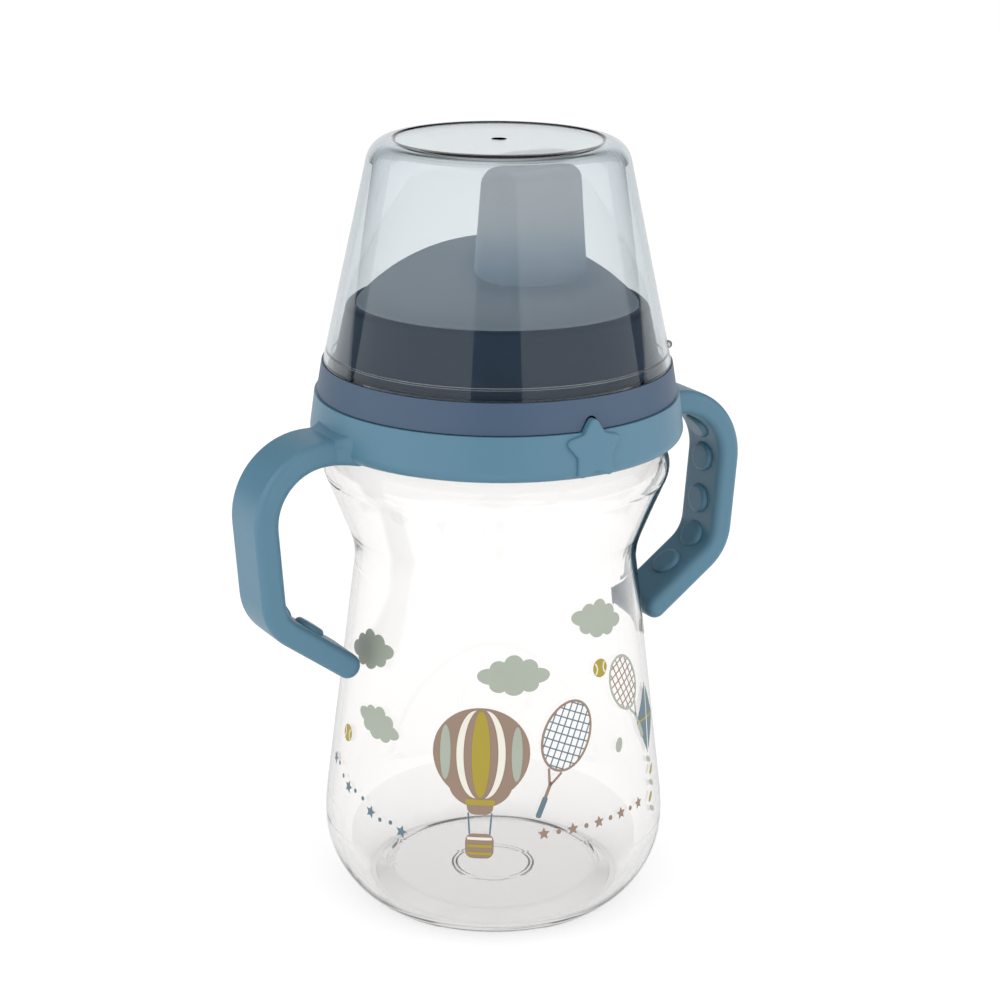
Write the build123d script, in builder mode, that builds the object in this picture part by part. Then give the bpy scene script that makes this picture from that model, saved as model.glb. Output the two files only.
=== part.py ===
# Sippy cup: clear bottle, two-handled ring, screw lid, soft spout, spout valve and tinted travel cap.
# Frame: origin at the centre of the base, +Z up, handles along X, star and spout towards -Y. Millimetres.
from build123d import *
from math import acos, atan2, cos, hypot, radians, sin, sqrt, tan
import os

os.makedirs("parts", exist_ok=True)

# ---- Bottle ----
bottle_wall = 1.3
foot_radius = 27.0
foot_land = 2.5
push_up = 1.8
push_up_slope = 3.0
push_up_round = 2.5
gate_ring_radius = 8.1
gate_ring_size = 0.6
belly_radius = 35.0
belly_height = 16.0
belly_round = 43.0
waist_radius = 28.2
waist_height = 74.0
waist_round = 14.0
shoulder_height = 97.0
shoulder_round = 5.7
neck_radius = 28.6
neck_wall = 1.6
neck_height = 17.6
rim_round = 0.5

# ---- Screw thread: one ridge on the neck, one inside the lid ----
thread_lead = 4.0
thread_turns = 1.25
thread_depth = 1.2
thread_root_width = 2.0
thread_crest_width = 1.0
thread_radial_play = 0.35
thread_flank_play = 0.2
thread_start = 7.5
thread_start_angle = 25.0
ridge_root_sink = 0.3

# ---- Handle ring ----
collar_step = 6.1
ring_height = 9.0
ring_wall = 1.8
ring_step = 0.5
ring_flare = 1.2
ring_bottom_round = 2.0
flange_thickness = 1.7
ring_rest_gap = 0.1
ring_bore_play = 0.35
handle_width = 13.0
handle_thickness = 5.0
handle_reach = 54.0
handle_start_drop = 6.9
handle_lean = 2.6
handle_elbow_depth = 39.6
handle_tip_depth = 50.8
handle_tip_radius = 36.0
handle_top_bend = 13.0
handle_elbow_bend = 9.0
handle_edge_round = 1.6
root_spread = 13.0
root_rise = 3.2
root_extra_round = 1.2
root_sink = 1.2
root_tuck = 0.02
grip_bump_radius = 3.15
grip_bump_height = 1.0
grip_bump_round = 0.9
grip_bump_spacing = 9.2
grip_bump_start = 17.3
grip_bump_count = 5
star_radius = 6.75
star_inner_radius = 3.9
star_centre_drop = 3.4
star_proud = 0.9
star_tip_round = 1.0
star_inner_round = 0.8
star_edge_round = 0.45

# ---- Lid ring ----
band_height = 5.9
band_wall = 1.8
band_flare = 1.0
band_gap = 0.2
web_thickness = 1.8
skirt_wall = 1.55
skirt_end_gap = 0.3
ledge_width = 2.5
lid_height = 12.2
lid_top_round = 1.4
opening_round = 0.35
key_play = 0.35
hood_lean = radians(12.4)

# ---- Soft spout ----
seal_gap = 0.1
seal_thickness = 2.3
seal_overhang = 0.8
seal_play = 0.2
soft_wall = 2.0
spout_body_play = 0.25
opening_overlap = 1.5
dome_radius = 37.8
dome_edge_round = 1.0
plug_depth = 5.0
plug_play = 0.15
spout_offset = 12.4
spout_half_width = 11.5
spout_half_depth = 7.2
spout_height = 17.2
spout_width_taper = 1.4
spout_depth_taper = 1.9
spout_wall = 1.8
spout_tip_wall = 1.8
spout_tip_round = 4.6
drink_hole_radius = 1.0
drink_hole_spacing = 4.2
drink_hole_count = 3
socket_depth = 6.5

# ---- Spout valve ----
valve_play = 0.15
valve_wall = 1.1
valve_flange = 1.6
valve_height = 6.0
valve_membrane = 0.8
valve_slit_width = 0.4
valve_slit_length = 9.0

# ---- Travel cap ----
cap_wall = 1.2
cap_rim_inset = 0.3
cap_seat_gap = 0.1
cap_height = 43.6
cap_corner_round = 5.0
cap_dish = 0.3
cap_dish_radius = 20.6
cap_dish_taper = 60
vent_radius = 1.5
snap_bead = 0.25
snap_bead_height = 2.0
cap_pip_size = 0.8
cap_pip_height = 3.0
cap_pip_angle = -30.0

# ---- Levels and radii that follow from the values above ----
shoulder_radius = neck_radius + collar_step
neck_top = shoulder_height + neck_height
neck_bore = neck_radius - neck_wall
thread_bore = neck_radius + thread_depth + thread_radial_play
skirt_radius = thread_bore + skirt_wall
collar_radius = neck_radius + collar_step
ring_bottom = shoulder_height + ring_rest_gap
ring_top = ring_bottom + ring_height
ring_top_radius = collar_radius + band_flare + ring_step
ring_foot_radius = ring_top_radius + ring_flare
flange_top = ring_bottom + flange_thickness
band_bottom = ring_top + band_gap
ledge_level = band_bottom + band_height
skirt_end = flange_top + skirt_end_gap
hood_foot_radius = collar_radius - ledge_width
flank_width = (thread_root_width - thread_crest_width) / 2
flank_sum = thread_root_width - flank_width * (thread_depth + thread_radial_play) / thread_depth
neck_thread_start = shoulder_height + thread_start
lid_thread_start = neck_thread_start - flank_sum - thread_flank_play
lid_top = ledge_level + lid_height
seal_bottom = neck_top + seal_gap
seal_top = seal_bottom + seal_thickness
seal_radius = neck_radius + seal_overhang
body_radius = seal_radius - opening_overlap - spout_body_play
opening_radius = body_radius + spout_body_play
body_bore = body_radius - soft_wall
dome_centre = lid_top - sqrt(dome_radius**2 - body_radius**2)
plug_radius = neck_bore - plug_play
spout_base = dome_centre + sqrt(dome_radius**2 - spout_offset**2)
spout_top = spout_base + spout_height + 0.35 * spout_half_depth
plug_bottom = seal_bottom - plug_depth
socket_bottom = spout_base - socket_depth
valve_seat = socket_bottom - seal_gap
cap_bottom = ledge_level + cap_seat_gap
cap_top = cap_bottom + cap_height
cap_rim_radius = collar_radius - cap_rim_inset


def tangent_point(centre, radius, point, side):
    """Point where the line from an outside point touches a circle; side +1 or -1 picks which of the two."""
    away_r = point[0] - centre[0]
    away_z = point[1] - centre[1]
    angle = atan2(away_z, away_r) + side * acos(radius / hypot(away_r, away_z))
    return (centre[0] + radius * cos(angle), centre[1] + radius * sin(angle))


def bottle_outline(inset):
    """Half section of the bottle, closed on its axis, the given wall thickness inside the outer skin."""
    foot_inner = foot_radius - foot_land
    waist = (waist_radius - inset, waist_height)
    belly_centre = (belly_radius - belly_round, belly_height)
    belly_end = tangent_point(belly_centre, belly_round - inset, waist, -1)
    arc = shoulder_round - inset
    shoulder_centre = (shoulder_radius - shoulder_round, shoulder_height - shoulder_round)
    shoulder_start = tangent_point(shoulder_centre, arc, waist, 1)
    shoulder_end = (shoulder_centre[0], shoulder_height - inset)
    neck_wall_radius = neck_radius if inset == 0 else neck_bore
    with BuildLine() as outline:
        floor_line = Polyline(
            (0, push_up + inset),
            (foot_inner - push_up_slope + inset / 2, push_up + inset),
            (foot_inner + inset / 2, inset),
            (foot_radius - inset / 2, inset),
        )
        heel = TangentArc(
            (belly_radius - inset, belly_height), floor_line @ 1, tangent=(0, -1)
        )
        RadiusArc(heel @ 0, belly_end, -(belly_round - inset))
        Line(belly_end, waist)
        Line(waist, shoulder_start)
        RadiusArc(shoulder_start, shoulder_end, -arc)
        Polyline(
            shoulder_end,
            (neck_wall_radius, shoulder_height - inset),
            (neck_wall_radius, neck_top),
            (0, neck_top),
            floor_line @ 0,
        )
    return outline.line


def thread_ridge(root_radius, outward, level):
    """Helical ridge standing on a cylinder of root_radius, outward +1 on the neck and -1 in the lid."""
    flank_slope = (thread_root_width - thread_crest_width) / 2 / thread_depth
    sunk_width = thread_root_width / 2 + flank_slope * ridge_root_sink
    with BuildPart() as ridge:
        with BuildLine() as ridge_path:
            Helix(thread_lead, thread_lead * thread_turns, root_radius, center=(0, 0, level))
        start = Plane(ridge_path.line @ 0, x_dir=(1, 0, 0), z_dir=ridge_path.line % 0)
        with BuildSketch(start):
            with BuildLine():
                Polyline(
                    (-outward * ridge_root_sink, -sunk_width),
                    (outward * thread_depth, -thread_crest_width / 2),
                    (outward * thread_depth, thread_crest_width / 2),
                    (-outward * ridge_root_sink, sunk_width),
                    close=True,
                )
            make_face()
        sweep(is_frenet=True)
    return ridge.part.rotate(Axis.Z, thread_start_angle)


def star_column(grow, back, front):
    """Upright prism of the five-pointed star, top point above the ring, from radius back to front."""
    centre = ring_top - star_centre_drop
    points = []
    for step in range(10):
        reach = star_radius if step % 2 == 0 else star_inner_radius
        turn = radians(90 + 36 * step)
        points.append((reach * cos(turn), centre + reach * sin(turn)))
    with BuildPart() as column:
        with BuildSketch(Plane.XZ.offset(back)) as star:
            with BuildLine():
                Polyline(*points, close=True)
            make_face()
            corners = star.vertices().sort_by_distance((0, centre))
            fillet(corners[-5:], star_tip_round)
            fillet(star.vertices().sort_by_distance((0, centre))[:5], star_inner_round)
            if grow > 0:
                offset(amount=grow)
        extrude(amount=front - back)
    return column.part


def oval(level, inset):
    """Oval cross-section of the tapering spout at a level, the given wall thickness inside its outer skin."""
    share = (level - spout_base) / (spout_top - spout_base)
    half_width = spout_half_width - spout_width_taper * share - inset
    half_depth = spout_half_depth - spout_depth_taper * share - inset
    with BuildSketch(Plane.XY.offset(level)) as section:
        with Locations((0, -spout_offset)):
            Ellipse(half_width, half_depth)
    return section.sketch


def spout_tip_sections():
    """Ovals that draw in as a quarter round over the spout's tip."""
    sections = []
    for turn in (0, 22.5, 45, 67.5, 90):
        rise = spout_tip_round * sin(radians(turn))
        draw_in = spout_tip_round * (1 - cos(radians(turn)))
        sections.append(oval(spout_top - spout_tip_round + rise, draw_in))
    return sections


# ---- Bottle ----
with BuildPart() as bottle:
    with BuildSketch(Plane.XZ) as bottle_section:
        add(bottle_outline(0))
        make_face()
        with BuildLine(mode=Mode.PRIVATE) as inner_skin:
            add(bottle_outline(bottle_wall))
        make_face(inner_skin.edges(), mode=Mode.SUBTRACT)
        fillet(bottle_section.vertices().group_by(Axis.Y)[-1], rim_round)
        fillet(bottle_section.vertices().sort_by_distance((waist_radius, waist_height))[:2], waist_round)
        push_up_edge = (foot_radius - foot_land - push_up_slope, push_up)
        fillet(bottle_section.vertices().sort_by_distance(push_up_edge)[:2], push_up_round)
        with Locations((gate_ring_radius, push_up)):
            Circle(gate_ring_size)
    revolve(axis=Axis.Z)
    add(thread_ridge(neck_radius, 1, neck_thread_start))
bottle.part.label = "bottle"
export_step(bottle.part, "parts/bottle.step")

# ---- Handle ring: one moulding, a flanged ring with two open handles and the star key ----
handle_points = [
    (ring_top_radius - ring_wall / 2, ring_top - handle_start_drop),
    (handle_reach, ring_top - handle_start_drop),
    (handle_reach - handle_lean, ring_top - handle_elbow_depth),
    (handle_tip_radius, ring_top - handle_tip_depth),
]
root_start = ring_top_radius - ring_wall - root_sink
root_end = handle_reach - handle_top_bend
with BuildPart() as handle:
    with BuildSketch(Plane.XZ):
        with BuildLine() as handle_line:
            FilletPolyline(*handle_points, radius=[handle_top_bend, handle_elbow_bend])
            handle_path = handle_line.wire()
            offset(amount=handle_thickness / 2, side=Side.BOTH)
        make_face()
    extrude(amount=handle_width / 2, both=True)
    fillet(handle.faces().filter_by(Axis.Y).edges(), handle_edge_round)
    for share in (0, 0.3, 0.6, 1):
        flare = (1 - share) ** 3 - root_tuck
        height = handle_thickness + flare * root_rise
        middle = ring_top - handle_start_drop + flare * root_rise / 2
        with BuildSketch(Plane.YZ.offset(root_start + share * (root_end - root_start))):
            with Locations((0, middle)):
                RectangleRounded(
                    handle_width + flare * root_spread, height, handle_edge_round + flare * root_extra_round
                )
    loft()
    with BuildSketch(Plane.XY.offset(ring_bottom - ring_height)):
        Circle(ring_top_radius - ring_wall / 4)
    extrude(amount=2 * ring_height, mode=Mode.SUBTRACT)

with BuildPart() as grip_bump:
    with BuildSketch():
        Circle(grip_bump_radius)
    extrude(amount=handle_thickness / 2 + grip_bump_height)
    fillet(grip_bump.faces().sort_by(Axis.Z)[-1].edges(), grip_bump_round)

with BuildPart() as star_key:
    with BuildSketch(Plane.XZ):
        with BuildLine():
            Polyline(
                (ring_top_radius - ring_wall / 2, ring_bottom - ring_wall),
                (ring_foot_radius + star_proud, ring_bottom - ring_wall),
                (ring_top_radius + star_proud, ring_top),
                (ring_top_radius + star_proud - ring_flare / 2, ring_top + star_radius),
                (ring_top_radius - ring_wall / 2, ring_top + star_radius),
                close=True,
            )
        make_face()
    revolve(axis=Axis.Z)
    add(star_column(0, ring_top_radius / 2, 2 * ring_foot_radius), mode=Mode.INTERSECT)
    fillet(star_key.faces().sort_by(Axis.Y)[0].edges(), star_edge_round)

with BuildPart() as handle_ring:
    with BuildSketch(Plane.XZ) as ring_section:
        with BuildLine():
            Polyline(
                (neck_radius + ring_bore_play, ring_bottom),
                (ring_foot_radius, ring_bottom),
                (ring_top_radius, ring_top),
                (ring_top_radius - ring_wall, ring_top),
                (ring_foot_radius - ring_wall, flange_top),
                (neck_radius + ring_bore_play, flange_top),
                close=True,
            )
        make_face()
        fillet(ring_section.vertices().sort_by(Axis.X)[-1], ring_bottom_round)
    revolve(axis=Axis.Z)
    add(handle.part)
    for place in range(grip_bump_count):
        along = grip_bump_start + place * grip_bump_spacing
        at = handle_path.position_at(along, position_mode=PositionMode.LENGTH)
        way = handle_path.tangent_at(along, position_mode=PositionMode.LENGTH)
        with Locations(Plane((at.X, 0, at.Y), z_dir=(way.Y, 0, -way.X))):
            add(grip_bump.part)
    mirror(about=Plane.YZ)
    add(star_key.part)
handle_ring.part.label = "handle_ring"
export_step(handle_ring.part, "parts/handle_ring.step")

# ---- Lid ring: screw skirt, visible band with the key notch, tapering collar and opening ----
with BuildPart() as lid_ring:
    with BuildSketch(Plane.XZ) as lid_section:
        with BuildLine():
            Polyline(
                (collar_radius, ledge_level),
                (collar_radius + band_flare, band_bottom),
                (collar_radius + band_flare - band_wall, band_bottom),
                (collar_radius - band_wall, ledge_level - web_thickness),
                (skirt_radius, ledge_level - web_thickness),
                (skirt_radius, skirt_end),
                (thread_bore, skirt_end),
                (thread_bore, seal_top + seal_play / 2),
                (opening_radius, seal_top + seal_play / 2),
                (opening_radius, lid_top),
                (hood_foot_radius - lid_height * tan(hood_lean), lid_top),
                (hood_foot_radius, ledge_level),
                close=True,
            )
        make_face()
        top_corners = lid_section.vertices().group_by(Axis.Y)[-1].sort_by(Axis.X)
        fillet(top_corners[-1], lid_top_round)
        fillet(lid_section.vertices().group_by(Axis.Y)[-1].sort_by(Axis.X)[0], opening_round)
    revolve(axis=Axis.Z)
    add(thread_ridge(thread_bore, -1, lid_thread_start))
    add(star_column(key_play, skirt_radius + key_play, 2 * collar_radius), mode=Mode.SUBTRACT)
lid_ring.part.label = "lid_ring"
export_step(lid_ring.part, "parts/lid_ring.step")

# ---- Soft spout: sealing flange, plug ring, dome, oval spout and valve socket ----
with BuildPart() as silicone_spout:
    with BuildSketch(Plane.XZ) as dome_section:
        with BuildLine():
            up_body = Polyline(
                (0, seal_bottom),
                (seal_radius, seal_bottom),
                (seal_radius, seal_top),
                (body_radius, seal_top),
                (body_radius, lid_top),
            )
            dome_arc = RadiusArc(up_body @ 1, (0, dome_centre + dome_radius), -dome_radius)
            Line(dome_arc @ 1, up_body @ 0)
        make_face()
        fillet(dome_section.vertices().sort_by_distance((body_radius, lid_top))[0], dome_edge_round)
    revolve(axis=Axis.Z)
    loft(sections=[oval(spout_base - soft_wall, 0), oval(spout_top - spout_tip_round, 0)])
    loft(sections=spout_tip_sections())
    with BuildSketch(Plane.XY.offset(plug_bottom)):
        Circle(plug_radius)
    extrude(amount=seal_bottom - plug_bottom)
    with BuildSketch(Plane.XZ):
        with BuildLine():
            hollow = Polyline(
                (0, plug_bottom),
                (body_bore, plug_bottom),
                (body_bore, dome_centre + sqrt((dome_radius - soft_wall) ** 2 - body_bore**2)),
            )
            hollow_arc = RadiusArc(
                hollow @ 1, (0, dome_centre + dome_radius - soft_wall), -(dome_radius - soft_wall)
            )
            Line(hollow_arc @ 1, hollow @ 0)
        make_face()
    revolve(axis=Axis.Z, mode=Mode.SUBTRACT)
    loft(sections=[oval(socket_bottom, 0), oval(spout_base, 0)])
    channel_top = spout_top - spout_tip_wall
    loft(sections=[oval(socket_bottom, spout_wall), oval(channel_top, spout_wall)], mode=Mode.SUBTRACT)
    with BuildSketch(Plane.XY.offset(spout_top)):
        with Locations((0, -spout_offset)):
            with GridLocations(drink_hole_spacing, 0, drink_hole_count, 1):
                Circle(drink_hole_radius)
    extrude(amount=-2 * spout_tip_wall, mode=Mode.SUBTRACT)
silicone_spout.part.label = "silicone_spout"
export_step(silicone_spout.part, "parts/silicone_spout.step")

# ---- Spout valve: oval cup with a slit membrane, pushed up into the socket ----
valve_bottom = valve_seat - valve_flange
valve_top = valve_seat + valve_height
valve_skin = spout_wall + valve_play
with BuildPart() as spout_valve:
    loft(sections=[oval(valve_seat, valve_skin), oval(valve_top, valve_skin)])
    loft(sections=[oval(valve_bottom, 0), oval(valve_seat, 0)])
    cup_top = valve_top - valve_membrane
    cup_skin = valve_skin + valve_wall
    loft(sections=[oval(valve_bottom, cup_skin), oval(cup_top, cup_skin)], mode=Mode.SUBTRACT)
    with BuildSketch(Plane.XY.offset(valve_top)):
        with Locations((0, -spout_offset)):
            Rectangle(valve_slit_length, valve_slit_width)
    extrude(amount=-2 * valve_membrane, mode=Mode.SUBTRACT)
spout_valve.part.label = "spout_valve"
export_step(spout_valve.part, "parts/spout_valve.step")

# ---- Travel cap: tapering hood with a dished, vented top and a snap bead inside its rim ----
cap_shoulder_radius = cap_rim_radius - cap_height * tan(hood_lean)
with BuildPart() as cap:
    with BuildSketch(Plane.XZ) as cap_outside:
        with BuildLine():
            Polyline(
                (0, cap_bottom),
                (cap_rim_radius, cap_bottom),
                (cap_shoulder_radius, cap_top),
                (0, cap_top),
                close=True,
            )
        make_face()
        fillet(cap_outside.vertices().group_by(Axis.Y)[-1].sort_by(Axis.X)[-1], cap_corner_round)
    revolve(axis=Axis.Z)
    with BuildSketch(Plane.XZ) as cap_inside:
        with BuildLine():
            Polyline(
                (0, cap_bottom),
                (cap_rim_radius - cap_wall, cap_bottom),
                (cap_shoulder_radius - cap_wall, cap_top - cap_wall - cap_dish),
                (0, cap_top - cap_wall - cap_dish),
                close=True,
            )
        make_face()
        inner_corner = cap_inside.vertices().group_by(Axis.Y)[-1].sort_by(Axis.X)[-1]
        fillet(inner_corner, cap_corner_round - cap_wall)
    revolve(axis=Axis.Z, mode=Mode.SUBTRACT)
    with BuildSketch(Plane.XY.offset(cap_top)):
        Circle(cap_dish_radius)
    extrude(amount=-cap_dish, taper=cap_dish_taper, mode=Mode.SUBTRACT)
    with BuildSketch(Plane.XY.offset(cap_top)):
        Circle(vent_radius)
    extrude(amount=-2 * cap_wall, mode=Mode.SUBTRACT)
    bead_radius = cap_rim_radius - cap_wall - snap_bead_height * tan(hood_lean)
    with BuildSketch(Plane.XZ):
        with Locations((bead_radius, cap_bottom + snap_bead_height)):
            Circle(snap_bead)
    revolve(axis=Axis.Z)
    pip_radius = cap_rim_radius - cap_pip_height * tan(hood_lean)
    with PolarLocations(pip_radius, 1, start_angle=cap_pip_angle):
        with Locations((0, 0, cap_bottom + cap_pip_height)):
            Sphere(cap_pip_size)
cap.part.label = "cap"
export_step(cap.part, "parts/cap.step")
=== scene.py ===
# %% [markdown]
# # A two-handled sippy cup, finished in Blender
# The cup is six moulded pieces: a clear bottle, a blue handle ring, a slate screw lid, a soft spout, its valve
# and a tinted travel cap. Their shapes come from CAD and stay as they are. This lesson adds what CAD leaves
# out: the camera and studio, the plastics and silicones, and the inks printed on the bottle.

# %% Load the frame
import bpy
from math import atan2, cos, pi, radians, sin
from mathutils import Matrix, Vector


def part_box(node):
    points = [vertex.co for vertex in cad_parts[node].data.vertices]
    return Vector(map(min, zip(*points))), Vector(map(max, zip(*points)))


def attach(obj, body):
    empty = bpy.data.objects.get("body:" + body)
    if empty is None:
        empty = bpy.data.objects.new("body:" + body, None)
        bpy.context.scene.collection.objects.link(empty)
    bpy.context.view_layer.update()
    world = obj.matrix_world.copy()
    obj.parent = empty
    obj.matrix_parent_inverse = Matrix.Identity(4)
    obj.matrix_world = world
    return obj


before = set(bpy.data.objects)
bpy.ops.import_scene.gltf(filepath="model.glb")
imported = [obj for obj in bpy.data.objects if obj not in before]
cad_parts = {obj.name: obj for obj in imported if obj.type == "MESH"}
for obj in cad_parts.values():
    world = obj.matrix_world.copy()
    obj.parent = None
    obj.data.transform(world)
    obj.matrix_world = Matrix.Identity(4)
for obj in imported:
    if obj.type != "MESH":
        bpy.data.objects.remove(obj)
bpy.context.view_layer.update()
mm = 0.001

# %% [markdown]
# ## Camera
# Product pictures are taken from a little above with a long lens, so the walls stay nearly parallel. The
# camera is placed by its distance from the cup's axis, its height and its turn round the cup, which reads
# more clearly than a matrix of numbers.

# %% Place the camera
camera_turn = radians(-30)
camera_pitch = radians(17.49)
camera_roll = radians(0.538)
camera_distance = 462.4 * mm
camera_height = 228.4 * mm
camera_aside = 1.15 * mm

to_camera = Vector((sin(camera_turn), -cos(camera_turn), 0))
camera_right = Vector((cos(camera_turn), sin(camera_turn), 0))
lens = bpy.data.cameras.new("studio_camera")
lens.sensor_width = 36
lens.lens = 86.6
lens.shift_x = -0.0017
lens.clip_start = 0.01
camera = bpy.data.objects.new("studio_camera", lens)
bpy.context.scene.collection.objects.link(camera)
camera.location = to_camera * camera_distance + camera_right * camera_aside + Vector((0, 0, camera_height))
aim = Matrix.Rotation(camera_turn, 3, "Z") @ Matrix.Rotation(pi / 2 - camera_pitch, 3, "X")
camera.rotation_euler = (aim @ Matrix.Rotation(camera_roll, 3, "Z")).to_euler()
bpy.context.scene.camera = camera
bpy.context.scene.view_settings.view_transform = "Standard"
print("camera stands at", [round(v, 3) for v in camera.location])

# %% [markdown]
# ## Writing shaders as sums
# A node graph is easier to read as an expression. Wire wraps one socket, so that 1 - mask or 0.3 + 0.1 * grain
# adds the Math nodes for it. Graph adds any other node: its settings go in first, then its sockets.

# %% Shader helpers
class Wire:
    """One output socket that can be added, subtracted and multiplied as a number."""

    def __init__(self, graph, socket):
        self.graph = graph
        self.socket = socket

    def math(self, operation, left, right):
        return self.graph.node("Math", {"operation": operation}, {0: left, 1: right})

    def __add__(self, other):
        return self.math("ADD", self, other)

    def __radd__(self, other):
        return self.math("ADD", other, self)

    def __sub__(self, other):
        return self.math("SUBTRACT", self, other)

    def __rsub__(self, other):
        return self.math("SUBTRACT", other, self)

    def __mul__(self, other):
        return self.math("MULTIPLY", self, other)

    def __rmul__(self, other):
        return self.math("MULTIPLY", other, self)

    def at_least(self, other):
        return self.math("MAXIMUM", self, other)


class Graph:
    """A node tree that is built by calls."""

    def __init__(self, tree):
        self.tree = tree
        tree.nodes.clear()

    def node(self, kind, settings, inputs, output=0):
        made = self.tree.nodes.new("ShaderNode" + kind)
        for name, value in settings.items():
            setattr(made, name, value)
        for name, value in inputs.items():
            if isinstance(value, Wire):
                self.tree.links.new(value.socket, made.inputs[name])
            else:
                made.inputs[name].default_value = value
        return Wire(self, made.outputs[output])

    def grain(self, size, detail=2.0, stretch=(1, 1, 1)):
        """Noise from 0 to 1 whose features are about size metres across, on the piece's own coordinates."""
        here = self.node("TexCoord", {}, {}, "Object")
        placed = self.node("Mapping", {}, {"Vector": here, "Scale": stretch})
        return self.node("TexNoise", {}, {"Vector": placed, "Scale": 1 / size, "Detail": detail})

    def blend(self, share, low, high):
        """Colour that goes from low to high as share goes from 0 to 1."""
        return self.node("Mix", {"data_type": "RGBA"}, {0: share, 6: low, 7: high}, 2)

    def relief(self, height, depth):
        """Surface normal of a height from 0 to 1 that stands depth metres deep."""
        return self.node("Bump", {}, {"Height": height, "Distance": depth, "Strength": 1.0})


def srgb(red, green, blue, gain=1.0):
    """Linear colour of screen levels from 0 to 255, scaled by gain."""
    levels = []
    for level in (red, green, blue):
        share = level / 255
        levels.append(gain * (share / 12.92 if share < 0.04045 else ((share + 0.055) / 1.055) ** 2.4))
    return (*levels, 1.0)


def new_finish(name):
    """Empty material and its graph."""
    finish = bpy.data.materials.new(name)
    finish.use_nodes = True
    return finish, Graph(finish.node_tree)


def seal(graph, shader, volume=None):
    """Joins the surface shader, and any volume shader, to the material's output."""
    joined = {"Surface": shader}
    if volume is not None:
        joined["Volume"] = volume
    output = graph.tree.nodes.new("ShaderNodeOutputMaterial")
    for name, wire in joined.items():
        graph.tree.links.new(wire.socket, output.inputs[name])


def dress(node, finish):
    """Puts a finish on every material slot of a CAD node."""
    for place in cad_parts[node].material_slots:
        place.material = finish


# %% [markdown]
# ## Studio
# Clear plastic has no look of its own: it shows what stands around it. The room is white below, behind and
# above. Towards the camera it is dark, with one tall softbox on each side, so that the cap carries two broad
# pale reflections with a dark stripe between them. The dark part of the room is seen only in reflections.

# %% Floor
floor_size = 14.0
floor_glow = 0.66
bpy.ops.object.select_all(action="DESELECT")
bpy.ops.mesh.primitive_plane_add(size=floor_size, location=(0, 0, -0.02 * mm))
floor = bpy.context.object
floor.name = "studio_floor"
paper, graph = new_finish("white_paper")
mottle = graph.grain(300 * mm, 1.0)
paper_white = graph.blend(mottle, (0.39, 0.39, 0.39, 1), (0.41, 0.41, 0.41, 1))
shader = graph.node(
    "BsdfPrincipled",
    {},
    {
        "Base Color": paper_white,
        "Roughness": 0.9,
        "Emission Color": (1, 1, 1, 1),
        "Emission Strength": floor_glow,
    },
)
seal(graph, shader)
floor.data.materials.append(paper)
print("floor:", floor_size, "m across")

# %% Room
room_level = 0.85
darkest = 0.03
ceiling_share = 0.7
world = bpy.data.worlds.new("studio_room")
bpy.context.scene.world = world
world.use_nodes = True
graph = Graph(world.node_tree)
direction = graph.node("TexCoord", {}, {}, "Generated")
facing = graph.node("VectorMath", {"operation": "DOT_PRODUCT"}, {0: direction, 1: tuple(to_camera)}, "Value")
height = graph.node("SeparateXYZ", {}, {0: direction}, "Z")
behind = graph.node("MapRange", {}, {"Value": facing, "From Min": -0.80, "From Max": -0.92})
above = graph.node("MapRange", {}, {"Value": height, "From Min": 0.55, "From Max": 0.9})
bounces = graph.node("LightPath", {}, {}, "Glossy Depth")
mirrored = graph.node("MapRange", {}, {"Value": bounces})
dark_room = darkest + (1 - darkest) * behind.at_least(ceiling_share * above)
room = dark_room * mirrored + (1 - mirrored)
background = graph.node("Background", {}, {"Color": (1, 1, 1, 1), "Strength": room_level * room})
output = world.node_tree.nodes.new("ShaderNodeOutputWorld")
world.node_tree.links.new(background.socket, output.inputs["Surface"])
print("room:", len(world.node_tree.nodes), "nodes")

# %% Softboxes
softbox_width = 1.5
softbox_height = 1.3
softbox_distance = 0.75
softbox_level = 0.30
softbox_radiance = 0.95
softbox_turn = 61
lit_point = Vector((0, 0, 0.1))
for side, turn in (("left", -softbox_turn), ("right", softbox_turn)):
    light = bpy.data.lights.new("softbox_" + side, "AREA")
    light.shape = "RECTANGLE"
    light.size = softbox_width
    light.size_y = softbox_height
    light.energy = softbox_radiance * softbox_width * softbox_height * pi
    box = bpy.data.objects.new("softbox_" + side, light)
    bpy.context.scene.collection.objects.link(box)
    away = Matrix.Rotation(radians(turn), 3, "Z") @ to_camera
    box.location = away * softbox_distance + Vector((0, 0, softbox_level))
    box.rotation_euler = (lit_point - box.location).to_track_quat("-Z", "Y").to_euler()
    box.visible_camera = False
    box.visible_transmission = False
print("two softboxes,", softbox_width, "x", softbox_height, "m")

# %% [markdown]
# ## Coloured plastics
# The handle ring and the lid are moulded in polypropylene with a fine satin skin. Two grains make it: a broad
# one that shifts the colour by a few hundredths and a very fine one for the bead-blasted mould wall.

# %% Satin plastics for the ring and the lid
def satin_plastic(name, colour, roughness):
    finish, graph = new_finish(name)
    broad = graph.grain(18 * mm)
    fine = graph.grain(0.12 * mm, 3.0)
    shade = tuple(0.95 * c for c in colour[:3]) + (1.0,)
    shader = graph.node(
        "BsdfPrincipled",
        {},
        {
            "Base Color": graph.blend(broad, shade, colour),
            "Roughness": roughness + 0.08 * fine,
            "Normal": graph.relief(fine, 0.0012 * mm),
            "IOR": 1.49,
            "Subsurface Weight": 0.08,
            "Subsurface Radius": (0.6 * mm, 0.7 * mm, 0.8 * mm),
        },
    )
    seal(graph, shader)
    return finish


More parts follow.
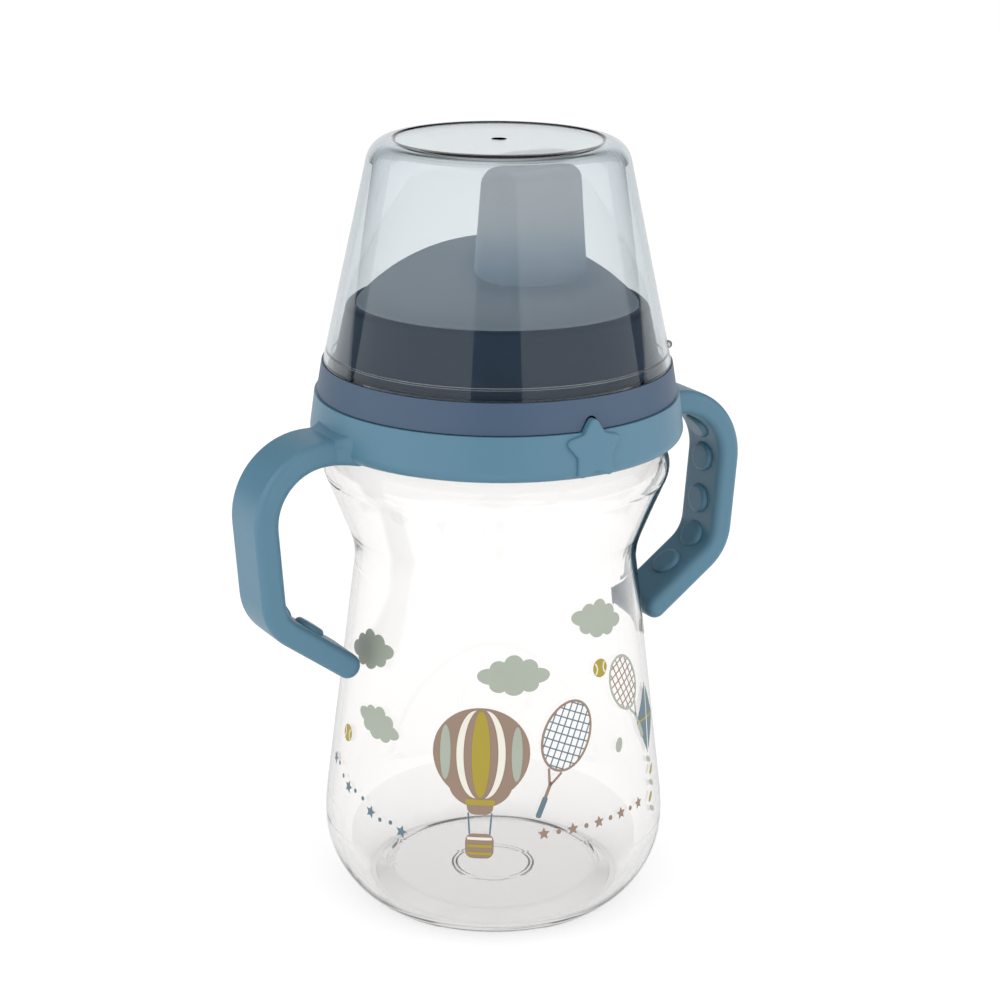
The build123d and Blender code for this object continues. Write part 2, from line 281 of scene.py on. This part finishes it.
ring_blue = satin_plastic("ring_blue", srgb(76, 117, 138), 0.34)
lid_slate = satin_plastic("lid_slate", srgb(58, 80, 104), 0.40)
dress("handle_ring", ring_blue)
dress("lid_ring", lid_slate)
print("satin plastics:", ring_blue.name, lid_slate.name)

# %% [markdown]
# ## Clear and tinted plastics
# The bottle and the travel cap are see-through walls, so both are glass-like shaders on the real wall. The
# colour of the cap sits inside the plastic: light loses more of it on a long way through, which is why the
# rim of the cap's top and its sides look darker. A slow ripple from the cooling mould bends the reflections.

# %% See-through plastics for the bottle and the cap
def clear_wall(name, tint, depth_colour, depth_density, ripple_depth):
    finish, graph = new_finish(name)
    ripple = graph.grain(16 * mm, 1.0, (1, 1, 0.5))
    haze = graph.grain(3 * mm, 2.0)
    shader = graph.node(
        "BsdfPrincipled",
        {},
        {
            "Base Color": tint,
            "Roughness": 0.03 * haze,
            "Normal": graph.relief(ripple, ripple_depth),
            "IOR": 1.49,
            "Transmission Weight": 1.0,
        },
    )
    depth = graph.node("VolumeAbsorption", {}, {"Color": depth_colour, "Density": depth_density})
    seal(graph, shader, depth)
    return finish


bottle_clear = clear_wall("bottle_clear", (0.99, 0.985, 0.98, 1), (0.60, 0.52, 0.48, 1), 14, 0.010 * mm)
cap_tint = clear_wall("cap_tint", (0.99, 0.99, 0.99, 1), (0.22, 0.46, 0.58, 1), 105, 0.006 * mm)
dress("bottle", bottle_clear)
dress("cap", cap_tint)
print("see-through plastics:", bottle_clear.name, cap_tint.name)

# %% [markdown]
# ## Silicone
# The spout and dome are one soft milky moulding: light goes in, scatters and comes out blurred, so the spout
# glows where the white room stands behind it. The dome carries painted shade: a darker blue that stands for
# the lid's colour showing through it, fading out over the spout's root.

# %% Milky silicone for the spout and the valve
glow_share = 0.84
spout_rise = 17.2 * mm
dome_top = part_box("silicone_spout")[1].z - spout_rise
# The painted shade on the dome fades out between these two heights.
shade_fade_start = dome_top - 4 * mm
shade_fade_end = dome_top + 7 * mm


def milky_silicone(name, colour, painted_dome_shade, roughness, scatter):
    """Soft translucent skin with painted shade: darker blue on the dome for the lid showing through, fading to
    its own colour over the spout's root.
    """
    finish, graph = new_finish(name)
    cloud = graph.grain(9 * mm)
    fine = graph.grain(0.4 * mm, 3.0)
    here = graph.node("TexCoord", {}, {}, "Object")
    level = graph.node("SeparateXYZ", {}, {0: here}, "Z")
    rise = graph.node(
        "MapRange",
        {"interpolation_type": "SMOOTHSTEP"},
        {"Value": level, "From Min": shade_fade_start, "From Max": shade_fade_end},
    )
    # Painted shade: the dome's darker blue, standing for the lid seen through it, blends into the silicone's
    # own colour.
    tone = graph.blend(rise - 0.08 * cloud, painted_dome_shade, colour)
    skin = graph.node(
        "BsdfPrincipled",
        {},
        {
            "Base Color": tone,
            "Roughness": roughness + 0.06 * fine,
            "Normal": graph.relief(fine, 0.003 * mm),
            "IOR": 1.41,
            "Subsurface Weight": 0.3,
            "Subsurface Radius": (scatter, scatter, scatter),
        },
    )
    glow = graph.node("BsdfTranslucent", {}, {"Color": tone})
    milk = graph.node("MixShader", {}, {0: glow_share + 0.1 * cloud, 1: skin, 2: glow})
    seal(graph, milk)
    return finish


# The second colour of each silicone is the painted shade below the spout's root.
spout_milky = milky_silicone("spout_milky", (0.98, 0.985, 0.99, 1), (0.84, 0.90, 0.95, 1), 0.32, 4 * mm)
valve_milky = milky_silicone("valve_milky", (0.94, 0.95, 0.96, 1), (0.90, 0.93, 0.96, 1), 0.40, 2 * mm)
dress("silicone_spout", spout_milky)
dress("spout_valve", valve_milky)
print("silicones:", spout_milky.name, valve_milky.name)

# %% [markdown]
# ## Printed inks
# The pictures on the bottle are screen-printed: each colour is a film of ink a few hundredths of a millimetre
# thick that follows the wall. Each picture is drawn flat in front of the bottle, from rounded lobes, bars
# and rings, and then wrapped as a decal: Shrinkwrap presses the flat film onto the wall, Solidify gives it
# its thickness, and a turn about the cup's axis brings it round to its place.

# %% Flat shapes to draw with
ink_thickness = 0.04 * mm
wafer_thickness = 2 * mm
star_waist = 0.48
bottle_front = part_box("bottle")[0].y


def only(piece):
    """Selects one piece and nothing else."""
    bpy.ops.object.select_all(action="DESELECT")
    piece.select_set(True)
    bpy.context.view_layer.objects.active = piece


def thicken(name):
    """Draws the flat shape just added out into a wafer, its front towards -Y."""
    piece = bpy.context.object
    piece.name = name
    only(piece)
    bpy.ops.object.transform_apply(location=True, rotation=True, scale=True)
    wafer = piece.modifiers.new("wafer", "SOLIDIFY")
    wafer.thickness = wafer_thickness
    wafer.offset = -1
    bpy.ops.object.modifier_apply(modifier="wafer")
    return piece


def disc(name, x, z, width, height, lean=0, sides=48):
    """Oval wafer; x and z are its centre, lean turns it, in degrees."""
    bpy.ops.object.select_all(action="DESELECT")
    bpy.ops.mesh.primitive_circle_add(vertices=sides, radius=0.5, fill_type="NGON", rotation=(pi / 2, 0, 0))
    only(bpy.context.object)
    bpy.ops.object.transform_apply(rotation=True)
    bpy.context.object.scale = (width * mm, 1, height * mm)
    bpy.ops.object.transform_apply(scale=True)
    bpy.context.object.rotation_euler = (0, radians(lean), 0)
    bpy.context.object.location = (x * mm, 0, z * mm)
    return thicken(name)


def bar(name, x, z, width, height, lean=0):
    """Rectangular wafer with its corners cut round."""
    bpy.ops.object.select_all(action="DESELECT")
    bpy.ops.mesh.primitive_plane_add(size=1, rotation=(pi / 2, 0, 0))
    only(bpy.context.object)
    bpy.ops.object.transform_apply(rotation=True)
    bpy.context.object.scale = (width * mm, 1, height * mm)
    bpy.ops.object.transform_apply(scale=True)
    bpy.ops.object.mode_set(mode="EDIT")
    bpy.ops.mesh.select_all(action="SELECT")
    bpy.ops.mesh.bevel(offset=0.3 * min(width, height) * mm, segments=4, affect="VERTICES")
    bpy.ops.object.mode_set(mode="OBJECT")
    bpy.context.object.rotation_euler = (0, radians(lean), 0)
    bpy.context.object.location = (x * mm, 0, z * mm)
    return thicken(name)


def combine(piece, others, operation="UNION"):
    """Joins, cuts or trims a wafer with others, which are used up. A cutter is made three times as deep, so
    that its front and back stand clear of the wafer's."""
    for other in others:
        if operation != "UNION":
            other.scale.y = 3
            other.location.y = -wafer_thickness
            only(other)
            bpy.ops.object.transform_apply(location=True, scale=True)
        only(piece)
        tool = piece.modifiers.new("combine", "BOOLEAN")
        tool.operation = operation
        tool.solver = "EXACT"
        tool.object = other
        bpy.ops.object.modifier_apply(modifier=tool.name)
        bpy.data.objects.remove(other)
    return piece


def star(name, size, lean=0):
    """Five-pointed star wafer: a ten-sided disc whose every second corner is drawn in."""
    piece = disc(name, 0, 0, size, size, 0, 10)
    for vertex in piece.data.vertices:
        around = round((pi / 2 - atan2(vertex.co.z, vertex.co.x)) / (pi / 5))
        if around % 2:
            vertex.co.x *= star_waist
            vertex.co.z *= star_waist
    piece.rotation_euler = (0, radians(lean), 0)
    only(piece)
    bpy.ops.object.transform_apply(rotation=True)
    return piece


print("ink film:", ink_thickness / mm, "mm")

# %% Ink colours
def ink(name, colour):
    """Matt ink, a little thinner in patches and marked by the screen's mesh."""
    finish, graph = new_finish(name)
    mesh_marks = graph.grain(0.35 * mm, 2.0)
    patchy = graph.grain(5 * mm)
    thin = tuple(min(1.0, 1.10 * c) for c in colour[:3]) + (1.0,)
    shader = graph.node(
        "BsdfPrincipled",
        {},
        {
            "Base Color": graph.blend(0.7 * patchy + 0.3 * mesh_marks, thin, colour),
            "Roughness": 0.42 + 0.12 * mesh_marks,
            "Normal": graph.relief(mesh_marks, 0.001 * mm),
        },
    )
    seal(graph, shader)
    return finish


sage = ink("ink_sage", srgb(150, 157, 145))
mustard = ink("ink_mustard", srgb(152, 136, 40))
taupe = ink("ink_taupe", srgb(134, 113, 98))
teal = ink("ink_teal", srgb(84, 108, 120))
cream = ink("ink_cream", srgb(208, 205, 194))
print("inks:", [i.name for i in (sage, mustard, taupe, teal, cream)])

# %% Wrap a flat film round the bottle
film_clearance = 0.02 * mm
cut_spacing = 1.2 * mm
start_gap = 5 * mm
prints = []


def cut_across(piece, direction):
    """Cuts all faces by evenly spaced planes, so that the film can follow the curved wall."""
    reach = [vertex.co.dot(Vector(direction)) for vertex in piece.data.vertices]
    at = min(reach) + cut_spacing / 2
    while at < max(reach):
        bpy.ops.mesh.select_all(action="SELECT")
        bpy.ops.mesh.bisect(plane_co=[at * d for d in direction], plane_no=direction)
        at += cut_spacing


def print_on_bottle(piece, colour, angle, height, layer=0):
    """Wraps a wafer drawn round the origin onto the wall, centred at an angle round the cup and a height."""
    only(piece)
    bpy.ops.object.mode_set(mode="EDIT")
    bpy.ops.mesh.select_mode(type="FACE")
    bpy.ops.mesh.select_all(action="DESELECT")
    bpy.ops.object.mode_set(mode="OBJECT")
    for face in piece.data.polygons:
        face.select = face.normal.y > -0.9
    bpy.ops.object.mode_set(mode="EDIT")
    bpy.ops.mesh.delete(type="FACE")
    cut_across(piece, (1, 0, 0))
    cut_across(piece, (0, 0, 1))
    bpy.ops.object.mode_set(mode="OBJECT")
    piece.location = (0, bottle_front - start_gap, height * mm)
    bpy.ops.object.transform_apply(location=True)
    press = piece.modifiers.new("press", "SHRINKWRAP")
    press.wrap_method = "PROJECT"
    press.use_project_y = True
    press.use_positive_direction = True
    press.use_negative_direction = False
    press.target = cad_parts["bottle"]
    press.offset = film_clearance + layer * ink_thickness
    film = piece.modifiers.new("film", "SOLIDIFY")
    film.thickness = ink_thickness
    film.offset = 1
    for modifier in ("press", "film"):
        bpy.ops.object.modifier_apply(modifier=modifier)
    piece.rotation_euler = (0, 0, radians(angle))
    bpy.ops.object.transform_apply(rotation=True)
    piece.data.materials.clear()
    piece.data.materials.append(colour)
    bpy.ops.object.shade_smooth_by_angle(angle=radians(30))
    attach(piece, "bottle")
    prints.append(piece)


print("films are cut every", cut_spacing / mm, "mm")

# %% [markdown]
# ## Clouds, balls and dots
# A cloud is one film whose edge is a row of round lobes. Oval wafers are joined by Boolean union, so that no
# lobe leaves an edge inside the cloud. A ball is a mustard disc with two pale seams printed on top.

# %% Clouds
cloud_lobes = (
    (-4.6, 0.2, 5.0, 3.2),
    (-2.9, 1.6, 3.6, 3.4),
    (0, 2.2, 4.0, 4.4),
    (2.9, 1.7, 3.7, 3.5),
    (4.7, 0.1, 4.8, 3.0),
    (-3.0, -1.5, 3.6, 3.0),
    (0, -1.7, 4.4, 3.8),
    (3.1, -1.5, 3.6, 3.0),
)


def cloud(name, angle, height, size, lean=0):
    """Oval with a ring of lobes, each given by its place across, its place up, its width and its height."""
    body = disc(name, 0, 0, 8.5 * size, 4.6 * size, lean)
    lobes = []
    for number, (x, z, width, tall) in enumerate(cloud_lobes):
        turned = Matrix.Rotation(radians(lean), 2) @ Vector((z, x))
        lobes.append(disc(f"lobe_{number}", turned.y * size, turned.x * size, width * size, tall * size, lean))
    print_on_bottle(combine(body, lobes), sage, angle, height)


cloud("cloud_over_balloon", -22.7, 56.3, 1.0)
cloud("cloud_right", 13.6, 65.0, 0.95, 14)
cloud("cloud_far_left", -84.0, 56.8, 1.0, -12)
cloud("cloud_left", -76.0, 43.0, 0.85, 12)
cloud("cloud_far_right", 62.0, 58.0, 0.9, -8)
print("clouds:", len(prints))

# %% Balls and a dot
def ball(name, angle, height, size):
    """Disc with a pale curved seam on each side, trimmed just inside its edge."""
    print_on_bottle(disc(name, 0, 0, size, size), mustard, angle, height)
    for side in (-1, 1):
        seam = disc(f"{name}_seam_{side + 2}", side * 0.62 * size, 0, 0.9 * size, 0.9 * size)
        inner = disc("inner", side * 0.62 * size, 0, 0.72 * size, 0.72 * size)
        edge = disc("edge", 0, 0, 0.93 * size, 0.93 * size)
        combine(seam, [inner], "DIFFERENCE")
        combine(seam, [edge], "INTERSECT")
        print_on_bottle(seam, cream, angle, height, 1)


ball("ball_left", -94.0, 37.8, 3.5)
ball("ball_right", 12.9, 55.4, 3.7)
print_on_bottle(disc("sage_dot", 0, 0, 2.0, 3.0, 20), sage, 20.0, 38.5)
print("clouds, balls and dot:", len(prints), "films")

# %% [markdown]
# ## Balloon
# The large picture on the front is a striped hot-air balloon with a basket: a taupe envelope with one mustard
# and two sage gores, two thin cream stripes, a mustard belt, two ropes and a basket with three bands.

# %% Balloon
balloon_angle = -34.3
balloon_height = 40.0
envelope_width = 19.0
envelope_tall = 18.5


bag_centre = 1.0


def on_balloon(piece, colour, layer=0):
    print_on_bottle(piece, colour, balloon_angle, balloon_height, layer)


bag = disc("balloon_bag", 0, bag_centre, envelope_width, envelope_tall, 0, 64)
throat = disc("throat", 0, -5.2, 12.4, 9.0)
mouth = bar("mouth", 0, -8.4, 5.2, 5.4)
on_balloon(combine(bag, [throat, mouth]), taupe)
for number, (x, width) in enumerate(((-7.0, 2.1), (0, 3.6), (7.0, 2.1))):
    gore = disc(f"balloon_gore_{number}", x, bag_centre, width, envelope_tall - 1.2 - 0.13 * x * x)
    on_balloon(gore, mustard if number == 1 else sage, 1)
for side in (-1, 1):
    outer = disc(f"balloon_stripe_{side + 2}", side * 0.9, bag_centre, 7.8, envelope_tall - 1.0, 0, 64)
    inner = disc("inner", side * -0.1, bag_centre, 7.0, envelope_tall - 0.2, 0, 64)
    on_balloon(combine(outer, [inner], "DIFFERENCE"), cream, 2)
on_balloon(bar("balloon_belt", 0, -8.6, 5.8, 1.1), mustard, 1)
print("balloon: envelope", envelope_width, "x", envelope_tall, "mm")

# %% Balloon's ropes and basket
for side in (-1, 1):
    on_balloon(bar(f"balloon_rope_{side + 2}", side * 2.15, -12.9, 0.34, 4.4, side * 4), teal)
on_balloon(bar("balloon_basket", 0, -17.4, 5.6, 5.0), taupe)
for number in range(3):
    band = bar(f"basket_band_{number}", 0, -15.9 - 1.5 * number, 4.9, 0.55)
    on_balloon(band, mustard if number else cream, 1)
print("basket printed, films so far:", len(prints))

# %% [markdown]
# ## Racket
# A racket is an oval hoop with strings, a throat of two prongs, a neck and a grip. The strings are thin bars
# joined into one net by Boolean union and trimmed to the inside of the hoop.

# %% Hoop and strings
hoop_band = 0.5
string_width = 0.26
string_gap = 1.35
string_gap_along = 1.62


def hoop(name, width, height, lean):
    """Oval ring of even width."""
    inside = disc("inside", 0, 0, width - 2 * hoop_band, height - 2 * hoop_band, lean, 64)
    return combine(disc(name, 0, 0, width, height, lean, 64), [inside], "DIFFERENCE")


def strings(name, width, height, lean):
    """Crossed bars trimmed to the inside of the hoop."""
    bars = []
    turn = Matrix.Rotation(radians(-lean), 2)
    for number in range(-4, 5):
        across = turn @ Vector((number * string_gap, 0))
        bars.append(bar("string", across.x, across.y, string_width, 1.2 * height, lean))
        along = turn @ Vector((0, number * string_gap_along))
        bars.append(bar("string", along.x, along.y, 1.4 * width, string_width, lean))
    net = combine(bars[0], bars[1:])
    net.name = name
    return combine(net, [disc("hoop_inside", 0, 0, width, height, lean, 64)], "INTERSECT")


print("strings:", string_width, "mm wide,", string_gap, "mm apart")

# %% Rackets
hoop_width = 10.6
hoop_height = 14.6
string_margin = 0.8
fork_spread = 24


def racket(name, angle, height, size, lean, frame_ink, string_ink, grip_ink):
    """Racket whose grip points down; the throat, neck and grip follow each other below the hoop."""
    wide = hoop_width * size
    tall = hoop_height * size
    net = strings(name + "_strings", wide - string_margin, tall - string_margin, lean)
    print_on_bottle(net, string_ink, angle, height)
    print_on_bottle(hoop(name + "_hoop", wide, tall, lean), frame_ink, angle, height, 1)
    down = Vector((-sin(radians(lean)), -cos(radians(lean))))
    throat = down * (tall / 2 + 1.4 * size)
    for side in (-1, 1):
        prong = throat + Vector((down.y, -down.x)) * side * 0.75 * size
        fork = bar(f"{name}_fork_{side + 2}", prong.x, prong.y, 0.5, 3.4 * size, lean - side * fork_spread)
        print_on_bottle(fork, frame_ink, angle, height, 1)
    neck = down * (tall / 2 + 4.2 * size)
    print_on_bottle(bar(name + "_neck", neck.x, neck.y, 0.7, 4.0 * size, lean), frame_ink, angle, height, 1)
    grip = down * (tall / 2 + 7.6 * size)
    print_on_bottle(bar(name + "_grip", grip.x, grip.y, 1.1, 4.4 * size, lean), grip_ink, angle, height, 2)


racket("racket", -3.2, 43.6, 1.0, 24, taupe, teal, teal)
racket("racket_right", 26.0, 50.5, 0.85, -24, sage, taupe, sage)
print("rackets printed, films so far:", len(prints))

# %% [markdown]
# ## Kite, stars and dotted trails
# A blue kite flies at the right. Where a maker would set words, this cup has trails of stars and dots.

# %% Kite
kite_angle = 42.0
kite_height = 38.0
kite_lean = 8
sail_rise = 2.0


def on_kite(piece, colour, layer=0):
    print_on_bottle(piece, colour, kite_angle, kite_height, layer)


on_kite(disc("kite_sail", 0, sail_rise, 10.5, 14.5, kite_lean, 4), teal)
on_kite(bar("kite_cross", 0, sail_rise, 0.45, 14.0, kite_lean), cream, 1)
on_kite(bar("kite_spar", 0, sail_rise, 10.0, 0.45, kite_lean), mustard, 1)
for number in range(5):
    sway = 1.1 * sin(1.4 * number)
    bow = disc(f"kite_bow_{number}", -1.1 + sway, -6.6 - 2.6 * number, 2.6, 1.1, 35 * (-1) ** number)
    on_kite(bow, mustard if number % 2 else sage)
print("kite printed, films so far:", len(prints))

# %% Stars and dots
trail_start = -103
trail_step = 4.6
for number in range(10):
    name = f"trail_mark_{number}"
    mark = disc(name, 0, 0, 0.9, 0.9) if number % 3 else star(name, 2.7, 10)
    height = 30.5 - 0.85 * number + 0.7 * sin(1.7 * number)
    print_on_bottle(mark, teal, trail_start + trail_step * number, height)

row_start = -13
row_step = 5.2
row_height = 24.6
for number in range(9):
    name = f"row_mark_{number}"
    mark = disc(name, 0, 0, 1.0, 1.0) if number % 2 else star(name, 2.6)
    print_on_bottle(mark, taupe, row_start + row_step * number, row_height)
print("printed films:", len(prints))
